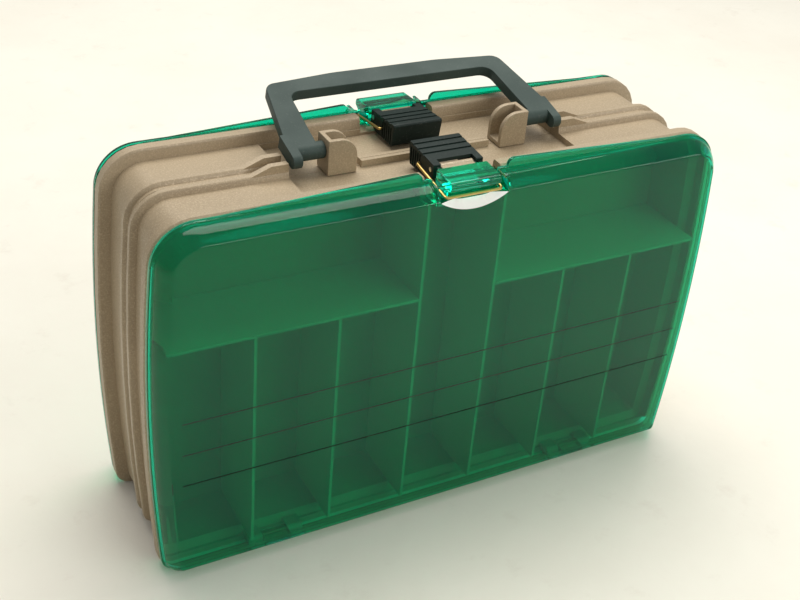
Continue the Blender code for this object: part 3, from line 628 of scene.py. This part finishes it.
# green styrene: light that crosses one wall comes out a deep sea green
SEA_GREEN = (0.002, 0.60, 0.37, 1.0)
DEEP_GREEN = (0.002, 0.54, 0.32, 1.0)
LAMP_GREEN = (0.015, 0.72, 0.56, 1.0)
clear_green, start, output = new_finish("clear_green")
haze = start.noise(9.0, 4.0).ramp([(0.35, 0.0), (0.75, 1.0)])
rub = start.noise(420.0, 4.0, 0.7).ramp([(0.60, 0.0), (0.74, 1.0)])
sockets = {"Strength": 0.12, "Distance": 0.002, "Height": start.noise(22.0, 1.0)}
waves = start.node("ShaderNodeBump", {}, sockets)
sockets = {
    "Base Color": haze.tint(SEA_GREEN, DEEP_GREEN), "Roughness": 0.03 + 0.03 * haze + 0.10 * rub,
    "Transmission Weight": 0.96, "IOR": 1.32, "Normal": waves,
}
plastic = start.node("ShaderNodeBsdfPrincipled", {}, sockets)
for_lamps = start.node("ShaderNodeBsdfTransparent", {}, {"Color": LAMP_GREEN})
lamp_ray = start.node("ShaderNodeLightPath", out="Is Shadow Ray")
sockets = {0: lamp_ray, 1: plastic, 2: for_lamps}
close_finish(start, output, start.node("ShaderNodeMixShader", {}, sockets))

# the finger scoop is painted near white, a painted reflection of the window lamp's glare that shows as a pale
# patch
painted_glare, start, output = new_finish("scoop_painted_glare")
glare_cloud = start.noise(180.0, 3.0)
sockets = {"Strength": 0.15, "Distance": 0.0002, "Height": start.noise(2600.0, 2.0)}
scoop_grain = start.node("ShaderNodeBump", {}, sockets)
sockets = {"Base Color": glare_cloud.tint((0.96, 0.97, 0.93, 1.0), (0.90, 0.93, 0.88, 1.0)),
           "Roughness": 0.40 + 0.1 * glare_cloud, "Normal": scoop_grain}
close_finish(start, output, start.node("ShaderNodeBsdfPrincipled", {}, sockets))

# the ruled grooves are painted near black, a painted shade that draws them as dark lines
groove_shade, start, output = new_finish("groove_painted_shade")
groove_mottle = start.noise(240.0, 2.0)
colour = groove_mottle.tint((0.001, 0.010, 0.006, 1.0), (0.002, 0.022, 0.013, 1.0))
sockets = {"Base Color": colour, "Roughness": 0.5}
close_finish(start, output, start.node("ShaderNodeBsdfPrincipled", {}, sockets))

# the dish, then the latch recess and the finger scoop, each with a wall of its own behind it
lid = lid_shell("front_lid_moulding")
tools = []
inside = LID_FACE - WALL / 2
recess_liner = box("recess_liner", (-RECESS_HALF - PLATE, -inside, RECESS_FLOOR - WALL),
                   (RECESS_HALF + PLATE, -LID_BACK, HEIGHT - WALL / 2))
combine(lid, recess_liner, "UNION", tools)
recess = box("recess", (-RECESS_HALF, -LID_FACE - OVERCUT, RECESS_FLOOR),
             (RECESS_HALF, -LID_BACK + RECESS_PAST, HEIGHT + OVERCUT))
scoop_low = Vector((0, -LID_FACE, SCOOP_LOW))
scoop_rise = (Vector((0, -BLOCK_UNDERCUT + SCOOP_UNDER, RECESS_FLOOR)) - scoop_low).normalized()
scoop_axis = scoop_low + Vector((0, -scoop_rise.z, scoop_rise.y)) * SCOOP_RADIUS
wall_half = SCOOP_HALF + SCOOP_WALL_MARGIN
scoop_wall = box("scoop_wall", (-wall_half, -inside, SCOOP_LOW - SCOOP_WALL_DROP),
                 (wall_half, -PLATE_FRONT - GAP, HEIGHT - SCOOP_WALL_TOP))
skin = rod("scoop_skin", scoop_axis - scoop_rise * SKIN_REACH, scoop_axis + scoop_rise * SKIN_REACH,
           SCOOP_RADIUS + SCOOP_SKIN, SCOOP_STEPS)
combine(scoop_wall, skin, "INTERSECT", [])
settle(scoop_wall, [skin])
combine(lid, scoop_wall, "UNION", tools)
combine(lid, recess, "DIFFERENCE", tools)
scoop = rod("scoop", scoop_axis - scoop_rise * SCOOP_DOWN, scoop_axis + scoop_rise * SCOOP_UP,
            SCOOP_RADIUS, SCOOP_STEPS)
combine(lid, scoop, "DIFFERENCE", tools)

# the catch block and the ruled grooves
block = prism("catch_block", block_outline(), 0, 2 * LEVER_HALF, lengthwise)
round_edges(block, BLOCK_EDGE)
combine(lid, block, "UNION", tools)
rule_length = WIDTH - 2 * (LID_FACE_INSET + FACE_ROUND + RULE_MARGIN)
rules = row_of_bars("ruled_grooves", RULES, (0, -LID_FACE, RULE_HEIGHT), (0, 0, RULE_SPACING),
                    (rule_length, 2 * RULE_DEPTH, RULE_WIDTH), clear_green)
combine(lid, rules, "DIFFERENCE", tools)

# on each side a lip, a hinge knuckle on its web, and relief round the tray's own knuckles
for side in (-1, 1):
    lip = prism(f"lip_{side}", lip_outline(side), -LID_BACK - WALL / 2 - LIP_BACK, WALL, across)
    combine(lid, lip, "UNION", tools)
    centre = side * HINGE_X
    half = LID_KNUCKLE / 2
    for number, (start_x, end_x) in enumerate(tray_knuckles(side)):
        relief = rod(f"relief_{side}_{number}", hinge_axis(start_x - RUN), hinge_axis(end_x + RUN),
                     HINGE_RELIEF)
        combine(lid, relief, "DIFFERENCE", tools)
    knuckle = rod(f"knuckle_{side}", hinge_axis(centre - half), hinge_axis(centre + half), HINGE_RADIUS)
    web = box(f"web_{side}", (centre - half, -HINGE_OUT - HINGE_WEB, HINGE_HEIGHT - HINGE_RADIUS / 2),
              (centre + half, -HINGE_OUT, HINGE_HEIGHT + HINGE_RADIUS * 0.9))
    hole = rod(f"pin_hole_{side}", hinge_axis(centre - half - RUN), hinge_axis(centre + half + RUN),
               HINGE_PIN_RADIUS + GAP, PIN_STEPS)
    combine(lid, knuckle, "UNION", tools)
    combine(lid, web, "UNION", tools)
    combine(lid, hole, "DIFFERENCE", tools)
settle(lid, tools)

# clear all over but for the scoop, painted near white as painted glare, and the grooves, painted near black
# as painted shade
lid.data.materials.clear()
for finish in (clear_green, painted_glare, groove_shade):
    lid.data.materials.append(finish)
round_edges(lid, 0.0, LID_CREASE)
for face in lid.data.polygons:
    arm = face.center - scoop_axis
    arm -= scoop_rise * arm.dot(scoop_rise)
    on_scoop = abs(arm.length - SCOOP_RADIUS) < NEAR_SCOOP and abs(face.center.x) < RECESS_HALF
    along = abs(face.normal.dot(arm.normalized())) > ALONG_SCOOP
    face.material_index = PAINTED_GLARE if on_scoop and along else CLEAR
    line = round((face.center.z - RULE_HEIGHT) / RULE_SPACING)
    beside = abs(face.center.z - RULE_HEIGHT - line * RULE_SPACING) < RULE_WIDTH
    in_groove = LID_FACE - 1.1 * RULE_DEPTH < -face.center.y < LID_FACE - NEAR_FACE
    if line in range(RULES) and beside and in_groove:
        face.material_index = SHADED_GROOVE

# the back lid is the same moulding, turned half a turn
back_lid = bpy.data.objects.new("back_lid_moulding", lid.data.copy())
back_lid.data.transform(ROTATE_BACK)
scene.collection.objects.link(back_lid)
belongs(lid, "front_lid", "front_lid")
belongs(back_lid, "back_lid", "back_lid")

# ---- The latch bails ---------------------------------------------------------------------------
# Brass-plated spring wire bent to a square loop. Its two tips sit in the lever's sides, and its
# crossbar hooks under the catch block's lip.
brass, start, output = new_finish("brass_wire")
plated = start.noise(320.0, 3.0)
colour = plated.tint((0.66, 0.47, 0.16, 1.0), (0.44, 0.29, 0.09, 1.0))
sockets = {"Base Color": colour, "Roughness": 0.22 + 0.2 * plated, "Metallic": 1.0}
close_finish(start, output, start.node("ShaderNodeBsdfPrincipled", {}, sockets))
for side in ("front", "back"):
    bail = moulded_copy(side + "_bail_wire", side + "_latch_bail", 0.0, brass)
    belongs(bail, side + "_latch_bail", side + "_latch_bail")

# ---- The latch levers --------------------------------------------------------------------------
# Black-green nylon, hollow underneath. Three grooves across the top and a row of flutes down each
# side at the rear give the thumb a hold.


def smooth_plastic(name, light, deep, roughness, grain_size, relief, shine):
    """Plain moulded plastic: an almost even colour, a fine mould texture and a little dust."""
    material, start, output = new_finish(name)
    cloud = start.noise(40.0, 3.0).ramp([(0.35, 0.0), (0.70, 1.0)])
    dust = start.noise(900.0, 3.0, 0.7).ramp([(0.60, 0.0), (0.72, 1.0)])
    colour = cloud.tint(light, deep)
    colour = (dust * 0.10).tint(colour, (0.55, 0.53, 0.48, 1.0))
    gloss = roughness + 0.12 * cloud + 0.15 * dust
    grain = start.noise(grain_size, 3.0, 0.6)
    bump = start.node("ShaderNodeBump", {}, {"Strength": relief, "Distance": 0.0002, "Height": grain})
    sockets = {"Base Color": colour, "Roughness": gloss, "Normal": bump, "Specular IOR Level": shine}
    close_finish(start, output, start.node("ShaderNodeBsdfPrincipled", {}, sockets))
    return material


black_plastic = smooth_plastic("black_green_nylon", (0.009, 0.019, 0.015, 1.0), (0.006, 0.013, 0.010, 1.0),
                               0.42, 1800.0, 0.12, 0.18)
LEVER_TOP_REAR = HEIGHT + 0.0049
GROOVES = 3
GROOVE_FIRST = 0.0129
GROOVE_STEP = 0.0048
GROOVE_WIDTH = 0.0016
GROOVE_DEPTH = 0.0007
GROOVE_LENGTH = 0.04
GROOVE_SINK = 0.0002
GROOVE_FALL = 0.0004
FLUTES = 5
FLUTE_FIRST = 0.0112
FLUTE_STEP = 0.0022
FLUTE_WIDTH = 0.0011
FLUTE_DEPTH = 0.0006
FLUTE_LENGTH = 0.009
FLUTE_DROP = 0.0070
LEVER_EDGE = 0.0003
for side, turn in (("front", Matrix.Identity(4)), ("back", ROTATE_BACK)):
    lever = moulded_copy(side + "_lever_moulding", side + "_latch_lever", 0.0, black_plastic)
    tools = []
    grooves = row_of_bars("grooves", GROOVES, (0, -GROOVE_FIRST, LEVER_TOP_REAR - GROOVE_SINK),
                          (0, -GROOVE_STEP, -GROOVE_FALL), (GROOVE_LENGTH, GROOVE_WIDTH, 2 * GROOVE_DEPTH),
                          black_plastic)
    grooves.data.transform(turn)
    combine(lever, grooves, "DIFFERENCE", tools)
    for hand in (-1, 1):
        flutes = row_of_bars("flutes", FLUTES, (hand * LEVER_HALF, -FLUTE_FIRST, LEVER_TOP_REAR - FLUTE_DROP),
                             (0, -FLUTE_STEP, 0), (2 * FLUTE_DEPTH, FLUTE_WIDTH, FLUTE_LENGTH),
                             black_plastic)
        flutes.data.transform(turn)
        combine(lever, flutes, "DIFFERENCE", tools)
    settle(lever, tools)
    round_edges(lever, LEVER_EDGE)
    belongs(lever, side + "_latch_lever", side + "_latch_lever")

# ---- The handle brackets -----------------------------------------------------------------------
# Two round-shouldered posts moulded in the tan compound. A tenon under each is held between
# the two trays.
BRACKET_EDGE = 0.0004
for side in ("left", "right"):
    post = "handle_bracket_" + side
    bracket = moulded_copy(side + "_bracket_moulding", post, BRACKET_EDGE, tan_plastic)
    belongs(bracket, "body", post)

# ---- The carrying handle -----------------------------------------------------------------------
# Dark grey-green polypropylene arch, moulded in one with the two studs that turn in the
# brackets. It lies back over the rear latch.
HANDLE_EDGE = 0.0004
grey_plastic = smooth_plastic("grey_green_plastic", (0.042, 0.066, 0.056, 1.0), (0.032, 0.052, 0.044, 1.0),
                              0.50, 1500.0, 0.25, 0.28)
handle = moulded_copy("handle_moulding", "handle", HANDLE_EDGE, grey_plastic)
belongs(handle, "handle", "handle")
